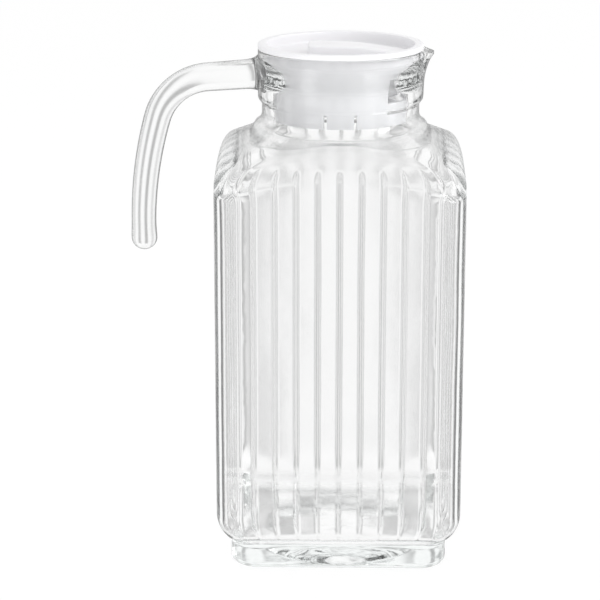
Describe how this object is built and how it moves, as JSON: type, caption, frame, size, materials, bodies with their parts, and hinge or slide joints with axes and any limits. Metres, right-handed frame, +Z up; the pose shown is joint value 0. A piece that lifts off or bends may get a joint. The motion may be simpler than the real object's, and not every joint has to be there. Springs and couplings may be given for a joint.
{
  "type": "lidded glass pitcher",
  "caption": "Squared glass pitcher with vertical ribs, round neck, pouring lip and free-ended rod handle, closed by a lift-off white plastic lid with a pouring window.",
  "frame": {"origin": "on the axis of the neck, at the plane on which the foot stands", "axes": "+Z up the neck's axis, +X towards the pouring lip, -X towards the handle"},
  "size_m": [0.1461, 0.107, 0.2262],
  "materials": {
    "clear_glass": "clear, smooth and fire polished",
    "white_plastic": "satin moulded"
  },
  "bodies": {
    "jug": {"glass_jug": "clear_glass", "glass_handle": "clear_glass"},
    "lid": {"lid": "white_plastic"}
  },
  "joints": [
    {"name": "lid_lift", "type": "slide", "parent": "jug", "child": "lid", "axis": [0, 0, 1], "range_m": [0, 0.05]}
  ]
}
